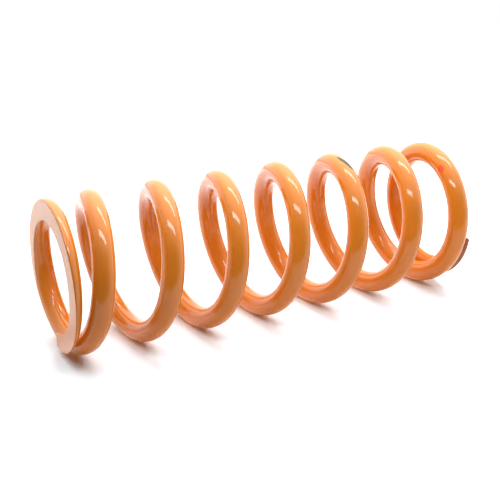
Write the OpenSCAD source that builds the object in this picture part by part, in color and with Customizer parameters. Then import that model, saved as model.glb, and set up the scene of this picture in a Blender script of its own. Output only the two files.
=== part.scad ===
// Helical compression spring of round wire for a motorcycle's rear shock absorber.
// It stands on its lower ground end, with the coil's axis on +Z and the base at z = 0.

/* [Wire] */
// Diameter of the round spring wire
wire_d = 12; // [9:0.5:15]

/* [Coil] */
// Clear bore through the middle of the coil, for the damper body
bore_d = 63; // [52:1:80]
// Free length from one ground face to the other
free_length = 244; // [220:1:300]
// Turns of wire from tip to tip, closed ends included
turns = 8.22; // [6:0.01:10]
// Hand of the winding
winding = "left"; // [left, right]
// Angle of the lower tip about the axis, from +X
lower_tip_angle = 260; // [0:1:359]

/* [Closed ends] */
// Wire thickness that grinding leaves at each tip
tip_thickness = 2.2; // [1:0.1:4]
// Space between a tip and the turn that it is closed against
tip_gap = 0.4; // [0.3:0.1:2]
// Turns from the tip to where the coil starts to open
closed_turns = 0.75; // [0.5:0.05:0.9]
// Turns over which the pitch grows from closed to open
opening_turns = 0.65; // [0.4:0.05:1]
// How far each tip lies inside the middle turns, to fit its seat
end_narrowing = 2.2; // [0:0.1:4]
// Turns from the tip over which the coil widens to its full bore
widening_turns = 1.5; // [1:0.1:3]

/* [Hidden] */

coat_color = "#DD741D";

// Flat sides round the wire, and rings of them along it
section_sides = 16;
ring_count = 360;

wire_r = wire_d / 2;
coil_r = (bore_d + wire_d) / 2;
climb_sign = winding == "left" ? -1 : 1;

// Share of a smooth growth that is made at a place x of its stretch, and the sum of it so far
function growth(x) = x <= 0 ? 0 : x >= 1 ? 1 : x * x * (3 - 2 * x);
function growth_sum(x) = x <= 0 ? 0 : x >= 1 ? x - 0.5 : x * x * x * (1 - x / 2);

// Turns of full pitch growth made at one turn from the tip, and at the middle of the coil
grown_at_one = opening_turns * growth_sum((1 - closed_turns) / opening_turns);
grown_at_mid = opening_turns * growth_sum((turns / 2 - closed_turns) / opening_turns);

// The closed turn climbs by the wire and the gap, and both halves meet at half the free length
tip_climb = wire_d + tip_gap;
half_climb = free_length / 2 - (tip_thickness - wire_r);
pitch_growth = (half_climb - tip_climb * turns / 2) / (grown_at_mid - grown_at_one * turns / 2);
closed_pitch = tip_climb - pitch_growth * grown_at_one;

// Height of the wire's centre above the ground face that it starts from, and its slope per turn
function opened(t) = (t - closed_turns) / opening_turns;
function rise(t) = tip_thickness - wire_r + closed_pitch * t
    + pitch_growth * opening_turns * growth_sum(opened(t));
function climb(t) = closed_pitch + pitch_growth * growth(opened(t));

// Distance of the wire's centre from the coil's axis
function reach(t) = coil_r - end_narrowing * (1 - growth(min(t, turns - t) / widening_turns));

// The upper half is the lower half turned over
function height(t) = t < turns / 2 ? rise(t) : free_length - rise(turns - t);
function height_slope(t) = climb(min(t, turns - t));

// Circle of points round the wire, square to its run, t turns from the lower tip
function bearing(t) = lower_tip_angle + climb_sign * 360 * t;
function outward(t) = [cos(bearing(t)), sin(bearing(t)), 0];
function onward(t) = climb_sign * 2 * PI * reach(t) * [-sin(bearing(t)), cos(bearing(t)), 0]
    + [0, 0, height_slope(t)];
function upward(t) = let (along = onward(t) / norm(onward(t))) climb_sign * cross(outward(t), along);
function wire_ring(t) = [
    for (side = [0 : section_sides - 1])
        let (a = 360 * side / section_sides)
            (reach(t) + wire_r * cos(a)) * outward(t) + [0, 0, height(t)] + wire_r * sin(a) * upward(t)
];

// Wire of round section along the whole coil, its ends cut square
module wound_wire() {
    points = [for (ring = [0 : ring_count]) each wire_ring(turns * ring / ring_count)];
    last_ring = ring_count * section_sides;
    walls = [
        for (ring = [0 : ring_count - 1], side = [0 : section_sides - 1])
            let (
                next_side = (side + 1) % section_sides,
                a = ring * section_sides + side,
                b = ring * section_sides + next_side,
                c = b + section_sides,
                d = a + section_sides
            )
                each [[a, b, c], [a, c, d]]
    ];
    lower_cap = [for (side = [section_sides - 1 : -1 : 0]) side];
    upper_cap = [for (side = [0 : section_sides - 1]) last_ring + side];
    left_faces = concat(walls, [lower_cap, upper_cap]);
    right_faces = [for (face = left_faces) [for (i = [len(face) - 1 : -1 : 0]) face[i]]];
    polyhedron(points, winding == "left" ? left_faces : right_faces);
}

// Everything between the two grinding planes
module ground_length() {
    across = 2 * (coil_r + wire_d);
    translate([-across / 2, -across / 2, 0]) cube([across, across, free_length]);
}

// The spring: one wound wire with both end turns ground flat
module coil_spring() {
    color(coat_color)
        intersection() {
            wound_wire();
            ground_length();
        }
}

coil_spring();
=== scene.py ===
import math

import bpy
from mathutils import Matrix, Vector


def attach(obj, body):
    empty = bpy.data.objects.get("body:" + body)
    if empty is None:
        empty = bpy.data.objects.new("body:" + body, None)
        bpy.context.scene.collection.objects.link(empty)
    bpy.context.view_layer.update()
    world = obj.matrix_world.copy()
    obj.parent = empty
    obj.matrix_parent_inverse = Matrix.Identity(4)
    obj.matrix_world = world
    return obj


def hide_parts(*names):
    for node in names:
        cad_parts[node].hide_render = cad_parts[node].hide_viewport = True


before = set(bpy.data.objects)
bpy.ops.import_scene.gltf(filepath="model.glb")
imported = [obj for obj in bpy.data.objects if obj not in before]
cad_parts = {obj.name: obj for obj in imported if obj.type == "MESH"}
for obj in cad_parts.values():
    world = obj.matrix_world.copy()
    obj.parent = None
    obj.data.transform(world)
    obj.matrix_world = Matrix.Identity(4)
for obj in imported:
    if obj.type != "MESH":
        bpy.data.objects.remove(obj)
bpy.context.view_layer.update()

# Wound wire of the spring: one length of round spring steel, coiled cold, left-hand, with both
# end turns closed against the next turn and ground flat to sit square on the seats.
# After grinding it is shot peened, which breaks the sharp rims, and powder coated all over.

# Sizes in millimetres, the same as in the solid
mm = 0.001
wire_r = 6.0
coil_r = 37.5
free_length = 244.0
turns = 8.22
lower_tip_angle = math.radians(260)
tip_thickness = 2.2
tip_gap = 0.4
closed_turns = 0.75
opening_turns = 0.65
end_narrowing = 2.2
widening_turns = 1.5

# The rim of a ground face and of a cut tip is rounded by this much, or by this share of a narrow face
rim_round = 0.45
rim_share = 0.4

# Points round the wire, those of them on its ground side, and rings along one turn
round_points = 64
ground_points = 14
rings_per_turn = 116


def growth(x):
    """Share of a smooth growth that is made at a place x of its stretch."""
    x = min(max(x, 0.0), 1.0)
    return x * x * (3 - 2 * x)


def growth_sum(x):
    """Sum of that growth up to a place x of its stretch."""
    if x <= 0:
        return 0.0
    return x - 0.5 if x >= 1 else x ** 3 * (1 - x / 2)


# The pitch is small on the closed turn and grows to full over the opening stretch
grown_at_one = opening_turns * growth_sum((1 - closed_turns) / opening_turns)
grown_at_mid = opening_turns * growth_sum((turns / 2 - closed_turns) / opening_turns)
tip_climb = 2 * wire_r + tip_gap
half_climb = free_length / 2 - (tip_thickness - wire_r)
pitch_growth = (half_climb - tip_climb * turns / 2) / (grown_at_mid - grown_at_one * turns / 2)
closed_pitch = tip_climb - pitch_growth * grown_at_one


def rise(t):
    """Height of the wire's middle, t turns from the lower tip."""
    grown = opening_turns * growth_sum((t - closed_turns) / opening_turns)
    return tip_thickness - wire_r + closed_pitch * t + pitch_growth * grown


def climb(t):
    """Rise of the wire per turn."""
    return closed_pitch + pitch_growth * growth((t - closed_turns) / opening_turns)


def reach(t):
    """Distance of the wire's middle from the coil's axis."""
    return coil_r - end_narrowing * (1 - growth(t / widening_turns))


def wire_axes(t):
    """Ways out from the coil's axis and up, both square to the wire."""
    bearing = lower_tip_angle - 2 * math.pi * t
    outward = Vector((math.cos(bearing), math.sin(bearing), 0))
    onward = Vector((math.sin(bearing), -math.cos(bearing), 0))
    run = 2 * math.pi * reach(t) * onward + Vector((0, 0, climb(t)))
    upward = run.normalized().cross(outward)
    return outward, upward


# Where along the wire the grinding plane leaves it, found by halving the stretch that holds the place
halvings = 60
low, high = 0.3, closed_turns + opening_turns
for _ in range(halvings):
    middle = (low + high) / 2
    if rise(middle) < wire_r * wire_axes(middle)[1].z:
        low = middle
    else:
        high = middle
ground_turns = high

# Turns past that place over which the lower points spread out to an even spacing
spreading_turns = 0.3


def wire_section(t, inset=0.0):
    """Points round the wire, t turns from the lower tip, each with its share of ground face and of rim."""
    outward, upward = wire_axes(t)
    centre = reach(t) * outward + Vector((0, 0, rise(t)))
    arc_steps = round_points - ground_points
    flat_height = -rise(t) / upward.z
    is_ground = flat_height > -wire_r
    if is_ground:
        corner = math.asin(flat_height / wire_r)
        half_flat = wire_r * math.cos(corner)
        rim = min(rim_round, rim_share * half_flat)
        first = corner + rim / wire_r
    else:
        # Past the ground stretch the lower points spread out from the line where grinding ends
        spread = math.pi * ground_points / round_points
        first = -math.pi / 2 + spread * growth((t - ground_turns) / spreading_turns)
    # Each point is how far out and up from the wire's middle, then 1 on a ground face and 1 on a rim
    points = []
    for i in range(arc_steps + 1):
        a = first + (math.pi - 2 * first) * i / arc_steps
        points.append((wire_r * math.cos(a), wire_r * math.sin(a), 0, i in (0, arc_steps)))
    if is_ground:
        # The rim bends from the round wire to the flat, drawn towards the sharp corner between them
        across, up = points[-1][:2]
        bend = (across - 2 * half_flat - half_flat + rim) / 4, (up + 3 * flat_height) / 4
        points.append((*bend, 0, 1))
        steps = ground_points - 4
        for i in range(steps + 1):
            across = (half_flat - rim) * (2 * i / steps - 1)
            points.append((across, flat_height, 1, i in (0, steps)))
        points.append((-bend[0], bend[1], 0, 1))
    else:
        last = math.pi - first
        for i in range(1, ground_points):
            a = last + (2 * math.pi + first - last) * i / ground_points
            points.append((wire_r * math.cos(a), wire_r * math.sin(a), 0, 0))
    if inset:
        # The cut face of the tip is smaller all round by the rounded rim
        middle_up = (max(p[1] for p in points) + min(p[1] for p in points)) / 2
        widest = max(p[0] for p in points)
        shrink_across = 1 - inset / widest
        shrink_up = 1 - inset / (max(p[1] for p in points) - middle_up)
        points = [
            (p[0] * shrink_across, middle_up + (p[1] - middle_up) * shrink_up, 0, 1)
            for p in points
        ]
    return [(centre + p[0] * outward + p[1] * upward, p[2], p[3]) for p in points]


# The lower half runs from its tip to the middle, and the upper half is the lower one turned over
ring_count = round(turns / 2 * rings_per_turn)
past_rim = rim_round / (2 * math.pi * reach(0))
stations = [past_rim] + [turns / 2 * i / ring_count for i in range(1, ring_count + 1)]
lower_half = [wire_section(0, rim_round)] + [wire_section(t) for t in stations]

turn_over_axis, _ = wire_axes(turns / 2)
upper_half = []
for section in reversed(lower_half[:-1]):
    turned = []
    for i in range(round_points):
        point, ground, rim = section[(round_points // 2 - ground_points - i) % round_points]
        over = 2 * turn_over_axis.dot(point) * turn_over_axis - point
        turned.append((over + Vector((0, 0, free_length)), ground, rim))
    upper_half.append(turned)
sections = lower_half + upper_half

corners = [mm * point for section in sections for point, _, _ in section]
faces = []
for ring in range(len(sections) - 1):
    for side in range(round_points):
        a = ring * round_points + side
        b = ring * round_points + (side + 1) % round_points
        faces.append((a, b, b + round_points, a + round_points))
last_ring = (len(sections) - 1) * round_points
faces.append(tuple(reversed(range(round_points))))
faces.append(tuple(range(last_ring, last_ring + round_points)))

wire_mesh = bpy.data.meshes.new("wound_wire")
wire_mesh.from_pydata(corners, [], faces)
for name, place in (("ground_face", 1), ("rim", 2)):
    values = [float(entry[place]) for section in sections for entry in section]
    wire_mesh.attributes.new(name, "FLOAT", "POINT").data.foreach_set("value", values)
# Faces that lie in a grinding plane, within a tenth of a micrometre, and the cut tips stay flat
flat_within = 1e-7
for face in wire_mesh.polygons:
    heights = [corners[i].z for i in face.vertices]
    on_ground = max(heights) < flat_within or min(heights) > free_length * mm - flat_within
    face.use_smooth = not on_ground and len(face.vertices) == 4
wire_mesh.update()

wound_wire = bpy.data.objects.new("wound_wire", wire_mesh)
bpy.context.scene.collection.objects.link(wound_wire)


def linear(hex_colour):
    """An sRGB hex colour as linear red, green, blue and alpha."""
    values = [int(hex_colour[i:i + 2], 16) / 255 for i in (1, 3, 5)]
    return [v / 12.92 if v <= 0.04045 else ((v + 0.055) / 1.055) ** 2.4 for v in values] + [1]


def add_node(tree, kind, inputs=(), **settings):
    """A node with its settings, and its inputs set or linked."""
    node = tree.nodes.new(kind)
    for name, value in settings.items():
        setattr(node, name, value)
    for socket, value in dict(inputs).items():
        if isinstance(value, bpy.types.NodeSocket):
            tree.links.new(value, node.inputs[socket])
        else:
            node.inputs[socket].default_value = value
    return node


# Gloss powder coat: polyester powder, melted on and flowed out in the oven. It gives an even, deep
# orange with crisp highlights that wobble a little, because the surface sets with an orange peel.
powder_coat = bpy.data.materials.new("gloss powder coat on spring steel")
powder_coat.use_nodes = True
tree = powder_coat.node_tree
tree.nodes.clear()
place = add_node(tree, "ShaderNodeTexCoord").outputs["Object"]

# Thicker and thinner coat over patches of about 14 mm
patches = add_node(tree, "ShaderNodeTexNoise", {"Vector": place, "Scale": 1 / (14 * mm), "Detail": 2.0})
coat_tone = add_node(tree, "ShaderNodeMix", {
    0: patches.outputs["Fac"], 6: linear("#CC731A"), 7: linear("#D77C20"),
}, data_type="RGBA").outputs[2]

# The melted powder draws back from the rims and handling rubs them, so bits of 1.5 mm are brown there
rim = add_node(tree, "ShaderNodeAttribute", attribute_name="rim").outputs["Fac"]
rubbed = add_node(tree, "ShaderNodeTexNoise", {"Vector": place, "Scale": 1 / (1.5 * mm), "Detail": 2.0})
rubbed_bits = add_node(tree, "ShaderNodeMapRange", {
    "Value": rubbed.outputs["Fac"], "From Min": 0.46, "From Max": 0.66, "To Max": 0.7,
})
rim_wear = add_node(tree, "ShaderNodeMath", {
    0: rim, 1: rubbed_bits.outputs["Result"],
}, operation="MULTIPLY")
coat_tone = add_node(tree, "ShaderNodeMix", {
    0: rim_wear.outputs[0], 6: coat_tone, 7: linear("#8F5027"),
}, data_type="RGBA").outputs[2]

# Marks on the coat: two strokes of paint that sort the spring, a red scuff, the rubbed lower tip and grey
# dust, with edges that wander over bits of 0.8 mm. Each has its place in millimetres, its turn about the
# axis and its tilt in degrees, its half sizes out, along and across, and its colour.
mark_edge = add_node(tree, "ShaderNodeTexNoise", {
    "Vector": place, "Scale": 1 / (0.8 * mm), "Detail": 1.0,
})
edge_wander, mark_ends, mark_full = 0.7, 1.45, 1.25
mark_cover = None
for mark_place, turned, tilt, half_sizes, colour in (
    ((41.6, -9.0, 67.8), -13, 6, (3.5, 8.0, 2.2), "#E6DCC8"),
    ((42.4, -9.4, 70.9), -13, 6, (3.0, 8.5, 1.5), "#3C2F0C"),
    ((33.4, -20.6, 11.0), -32, 0, (2.0, 2.8, 1.8), "#D0501A"),
    ((-20.0, -34.6, 1.0), -120, 0, (6.0, 18.0, 2.2), "#AA6C45"),
    ((40.0, -0.7, 225.1), 0, 0, (0.8, 0.8, 0.8), "#A8968C"),
):
    from_mark = add_node(tree, "ShaderNodeMapping", {
        "Vector": place, "Location": mm * Vector(mark_place),
        "Rotation": (math.radians(tilt), 0, math.radians(turned)), "Scale": mm * Vector(half_sizes),
    }, vector_type="TEXTURE")
    off_middle = add_node(tree, "ShaderNodeVectorMath", {0: from_mark.outputs[0]}, operation="LENGTH")
    ragged = add_node(tree, "ShaderNodeMath", {
        0: mark_edge.outputs["Fac"], 1: edge_wander, 2: off_middle.outputs["Value"],
    }, operation="MULTIPLY_ADD")
    cover = add_node(tree, "ShaderNodeMapRange", {
        "Value": ragged.outputs[0], "From Min": mark_ends, "From Max": mark_full,
    }).outputs["Result"]
    coat_tone = add_node(tree, "ShaderNodeMix", {
        0: cover, 6: coat_tone, 7: linear(colour),
    }, data_type="RGBA").outputs[2]
    mark_cover = cover if mark_cover is None else add_node(tree, "ShaderNodeMath", {
        0: mark_cover, 1: cover,
    }, operation="MAXIMUM").outputs[0]

# Grinding marks under the coat of the end faces: fine lines 0.5 mm apart and up to 20 mm long
ground = add_node(tree, "ShaderNodeAttribute", attribute_name="ground_face").outputs["Fac"]
line_turn, line_length, line_gap = 25, 20, 0.5
line_space = add_node(tree, "ShaderNodeMapping", {
    "Vector": place, "Rotation": (0, 0, math.radians(line_turn)),
    "Scale": Vector((1 / line_length, 1 / line_gap, 1 / line_length)) / mm,
})
lines = add_node(tree, "ShaderNodeTexNoise", {
    "Vector": line_space.outputs[0], "Scale": 1.0, "Detail": 2.0,
})
line_height = add_node(tree, "ShaderNodeMath", {
    0: lines.outputs["Fac"], 1: ground,
}, operation="MULTIPLY")
line_bump = add_node(tree, "ShaderNodeBump", {
    "Height": line_height.outputs[0], "Strength": 1.0, "Distance": 0.004 * mm,
})

# Orange peel: swells about 2.5 mm apart and some 10 micrometres high
peel = add_node(tree, "ShaderNodeTexNoise", {"Vector": place, "Scale": 1 / (2.5 * mm), "Detail": 1.0})
peel_bump = add_node(tree, "ShaderNodeBump", {
    "Height": peel.outputs["Fac"], "Strength": 1.0, "Distance": 0.012 * mm,
    "Normal": line_bump.outputs["Normal"],
})

# Gloss, a little duller where the coat is thin, rubbed at a rim or painted over
shine = add_node(tree, "ShaderNodeMapRange", {
    "Value": patches.outputs["Fac"], "To Min": 0.08, "To Max": 0.14,
})
dulled = add_node(tree, "ShaderNodeMath", {0: mark_cover, 1: rim_wear.outputs[0]}, operation="MAXIMUM")
dull_adds = 0.45
dull_shine = add_node(tree, "ShaderNodeMath", {
    0: dulled.outputs[0], 1: dull_adds, 2: shine.outputs["Result"],
}, operation="MULTIPLY_ADD")
surface = add_node(tree, "ShaderNodeBsdfPrincipled", {
    "Base Color": coat_tone, "Roughness": dull_shine.outputs[0],
    "IOR": 1.5, "Normal": peel_bump.outputs["Normal"],
})
add_node(tree, "ShaderNodeOutputMaterial", {"Surface": surface.outputs["BSDF"]})
wire_mesh.materials.append(powder_coat)

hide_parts("coil_spring")
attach(wound_wire, "root")

# Floor: a sheet of white paper under the spring, which lies on its side on it with +X up.
# The paper shows from above only, so it hides nothing from below, and it ends in front of the view.

# Level ways from the spring to the lens and to the right of the view, and the way up from the paper
to_camera = Vector((0, -0.886, 0.463))
to_right = Vector((0, -0.463, -0.886))
floor_up = Vector((1, 0, 0))
floor_front, floor_back, floor_half_width = 0.22, 2.6, 1.6
floor_centre = Vector((-(coil_r + wire_r) * mm, 0, free_length / 2 * mm))
floor_corners = [
    floor_centre + ahead_by * to_camera + right_by * to_right
    for ahead_by, right_by in (
        (floor_front, -floor_half_width), (floor_front, floor_half_width),
        (-floor_back, floor_half_width), (-floor_back, -floor_half_width),
    )
]
floor_mesh = bpy.data.meshes.new("sweep_paper")
floor_mesh.from_pydata(floor_corners, [], [(0, 1, 2, 3)])
floor = bpy.data.objects.new("sweep_paper", floor_mesh)
bpy.context.scene.collection.objects.link(floor)

paper = bpy.data.materials.new("white matt paper")
paper.use_nodes = True
tree = paper.node_tree
tree.nodes.clear()
seen = add_node(tree, "ShaderNodeLightPath")
# The lens sees bright paper, a little blue from its brightener, and the spring gets a little less back
paper_tone = add_node(tree, "ShaderNodeMix", {
    0: seen.outputs["Is Camera Ray"], 6: linear("#E1E1E1"), 7: linear("#F1FAFF"),
}, data_type="RGBA")
matt = add_node(tree, "ShaderNodeBsdfDiffuse", {"Color": paper_tone.outputs[2]})
# Far from the lamps the paper keeps its white for the lens and for what mirrors it
floor_place = add_node(tree, "ShaderNodeNewGeometry")
floor_offset = add_node(tree, "ShaderNodeVectorMath", {
    0: floor_place.outputs["Position"], 1: floor_centre,
}, operation="DISTANCE")
far_off = add_node(tree, "ShaderNodeMapRange", {
    "Value": floor_offset.outputs["Value"], "From Min": 0.2, "From Max": 0.5,
}, interpolation_type="SMOOTHSTEP")
mirrored = add_node(tree, "ShaderNodeMath", {
    0: seen.outputs["Is Glossy Ray"], 1: seen.outputs["Is Transmission Ray"],
}, operation="MAXIMUM")
shown = add_node(tree, "ShaderNodeMath", {
    0: mirrored.outputs[0], 1: seen.outputs["Is Camera Ray"],
}, operation="MAXIMUM")
glow_strength = add_node(tree, "ShaderNodeMath", {
    0: far_off.outputs["Result"], 1: shown.outputs[0],
}, operation="MULTIPLY")
# A strip of the paper along the line that the spring rests on glows, hidden from the lens, and lights the
# spring's underside so that it isn't black below
from_line = add_node(tree, "ShaderNodeSeparateXYZ", {0: floor_place.outputs["Position"]})
line_offset = add_node(tree, "ShaderNodeMath", {0: from_line.outputs["Y"]}, operation="ABSOLUTE")
underside_glow_strip = add_node(tree, "ShaderNodeMapRange", {
    "Value": line_offset.outputs[0], "From Min": 18 * mm, "From Max": 0.0, "To Max": 0.42,
}, interpolation_type="SMOOTHSTEP")
off_lens = add_node(tree, "ShaderNodeMath", {
    0: 1.0, 1: seen.outputs["Is Camera Ray"],
}, operation="SUBTRACT")
all_glow = add_node(tree, "ShaderNodeMath", {
    0: underside_glow_strip.outputs["Result"], 1: off_lens.outputs[0], 2: glow_strength.outputs[0],
}, operation="MULTIPLY_ADD")
glow = add_node(tree, "ShaderNodeEmission", {"Strength": all_glow.outputs[0]})
lit = add_node(tree, "ShaderNodeAddShader", {0: matt.outputs[0], 1: glow.outputs[0]})
clear = add_node(tree, "ShaderNodeBsdfTransparent")
one_sided = add_node(tree, "ShaderNodeMixShader", {
    0: floor_place.outputs["Backfacing"], 1: lit.outputs[0], 2: clear.outputs[0],
})
add_node(tree, "ShaderNodeOutputMaterial", {"Surface": one_sided.outputs[0]})
floor_mesh.materials.append(paper)

# Studio: a light box of white panels, open and dark at the front for the lens. Two strip lamps hang
# over the spring, and the panels behind and above it are lit more than those at its sides.
world = bpy.data.worlds.new("white tent")
bpy.context.scene.world = world
world.use_nodes = True
tree = world.node_tree
tree.nodes.clear()
way = add_node(tree, "ShaderNodeTexCoord").outputs["Generated"]
# The opening is wider than high, so ways out of it are measured with their height stretched
stretched_way = add_node(tree, "ShaderNodeVectorMath", {0: way, 1: (1.6, 1, 1)}, operation="MULTIPLY")
from_middle = add_node(tree, "ShaderNodeVectorMath", {
    0: stretched_way.outputs[0],
}, operation="NORMALIZE")
towards_opening = add_node(tree, "ShaderNodeVectorMath", {
    0: from_middle.outputs[0], 1: to_camera,
}, operation="DOT_PRODUCT")
tent_shine = add_node(tree, "ShaderNodeMapRange", {
    "Value": towards_opening.outputs["Value"],
    "From Min": -0.05, "From Max": 0.6, "To Min": 1.16, "To Max": 0.15,
}, interpolation_type="SMOOTHSTEP").outputs["Result"]


def tent_way(height, bearing):
    """Way to a place of the tent: its height, and its bearing from the lens to the right, in degrees."""
    height, bearing = math.radians(height), math.radians(bearing)
    level_way = math.cos(bearing) * to_camera + math.sin(bearing) * to_right
    return math.sin(height) * floor_up + math.cos(height) * level_way


# The tent's cloth is brighter at the back, at the right and near the strip lamps: height and bearing of
# the middle of each bright place, the cosine at which it fades out and in, and how much it adds
for height, bearing, fades_out, fades_in, adds in (
    (0, 180, -0.1, 0.7, 0.72),
    (65, 180, 0.7, 1.0, 0.88),
    (90, 0, 0.6, 1.0, 0.64),
    (60, 10, 0.75, 1.0, 0.32),
    (15, 100, 0.3, 1.0, 0.48),
):
    towards = add_node(tree, "ShaderNodeVectorMath", {
        0: way, 1: tent_way(height, bearing),
    }, operation="DOT_PRODUCT")
    bright = add_node(tree, "ShaderNodeMapRange", {
        "Value": towards.outputs["Value"], "From Min": fades_out, "From Max": fades_in, "To Max": adds,
    }, interpolation_type="SMOOTHSTEP")
    tent_shine = add_node(tree, "ShaderNodeMath", {
        0: tent_shine, 1: bright.outputs["Result"],
    }).outputs[0]

# The lens sees white all round, and what mirrors the tent sees it with its opening
seen = add_node(tree, "ShaderNodeLightPath")
mirrored = add_node(tree, "ShaderNodeMath", {
    0: seen.outputs["Is Glossy Ray"], 1: seen.outputs["Is Transmission Ray"],
}, operation="MAXIMUM")
tent_shown = add_node(tree, "ShaderNodeMath", {
    0: mirrored.outputs[0], 1: tent_shine,
}, operation="MULTIPLY")
tent_level = add_node(tree, "ShaderNodeMath", {
    0: tent_shown.outputs[0], 1: seen.outputs["Is Camera Ray"],
}, operation="MAXIMUM")
tent = add_node(tree, "ShaderNodeBackground", {
    "Color": linear("#FFFFFF"), "Strength": tent_level.outputs[0],
})
add_node(tree, "ShaderNodeOutputWorld", {"Surface": tent.outputs[0]})

spring_middle = Vector((0, 0, free_length / 2 * mm))
# Place and aim in metres to the right, ahead to the lens and up, from the spring's middle; width, depth,
# and radiance, where 1 is white. The panels behind the cloth light the spring but aren't mirrored.
for name, lamp_place, aim, width, depth, radiance in (
    ("strip_front", (-0.01, 0.145, 0.25), (0, 0, 0), 0.26, 0.035, 12.0),
    ("strip_rear", (0.12, -0.13, 0.40), (0.12, 0, 0), 0.40, 0.055, 10.0),
    ("ceiling_front", (0, 0.25, 0.45), (0, 0, 0), 0.8, 0.2, 1.2),
    ("ceiling_rear", (0, -0.30, 0.45), (0, 0, 0), 0.8, 0.3, 4.8),
    ("back_high", (0, -0.45, 0.33), (0, 0, 0), 0.9, 0.25, 4.9),
    ("left_rear", (-0.40, -0.25, 0.15), (0, -0.25, 0.15), 0.4, 0.4, 0.9),
    ("left_high", (-0.30, 0.05, 0.35), (0, 0, 0), 0.25, 0.25, 3.9),
    ("right_rear", (0.40, -0.25, 0.15), (0, -0.25, 0.15), 0.4, 0.4, 1.8),
    ("right_high", (0.30, 0.10, 0.35), (0, 0, 0), 0.25, 0.25, 2.0),
    ("right_low", (0.25, 0.12, 0.10), (0, 0, 0), 0.15, 0.2, 0.7),
):
    right_by, ahead_by, up_by = lamp_place
    spot = right_by * to_right + ahead_by * to_camera + up_by * floor_up
    away = (spot - (aim[0] * to_right + aim[1] * to_camera + aim[2] * floor_up)).normalized()
    lamp = bpy.data.lights.new(name, "AREA")
    lamp.shape = "RECTANGLE"
    lamp.size = width
    lamp.size_y = depth
    lamp.energy = radiance * math.pi * width * depth
    panel = bpy.data.objects.new(name, lamp)
    panel.location = spring_middle + spot
    across = floor_up.cross(away).normalized()
    panel.rotation_euler = Matrix((across, away.cross(across), away)).transposed().to_euler()
    panel.visible_camera = False
    panel.visible_glossy = name.startswith("strip")
    bpy.context.scene.collection.objects.link(panel)

# Camera: a short telephoto above the near end of the spring, which lies on its side.
# Place and aim are in metres in the spring's own frame, and +X is up in the view.
camera_place = Vector((0.2102, -0.4731, 0.3705))
camera_aim = Vector((-0.0053, 0.0002, 0.1271))
camera_roll = math.radians(0.36)
lens = bpy.data.cameras.new("studio_camera")
lens.lens = 71.9
lens.sensor_width = 36.0
camera = bpy.data.objects.new("studio_camera", lens)
ahead = (camera_aim - camera_place).normalized()
right = ahead.cross(Vector((1, 0, 0))).normalized()
upright = Matrix((right, right.cross(ahead), -ahead)).transposed()
camera.location = camera_place
camera.rotation_euler = (upright @ Matrix.Rotation(camera_roll, 3, "Z")).to_euler()
bpy.context.scene.collection.objects.link(camera)
bpy.context.scene.camera = camera
bpy.context.scene.view_settings.view_transform = "Standard"
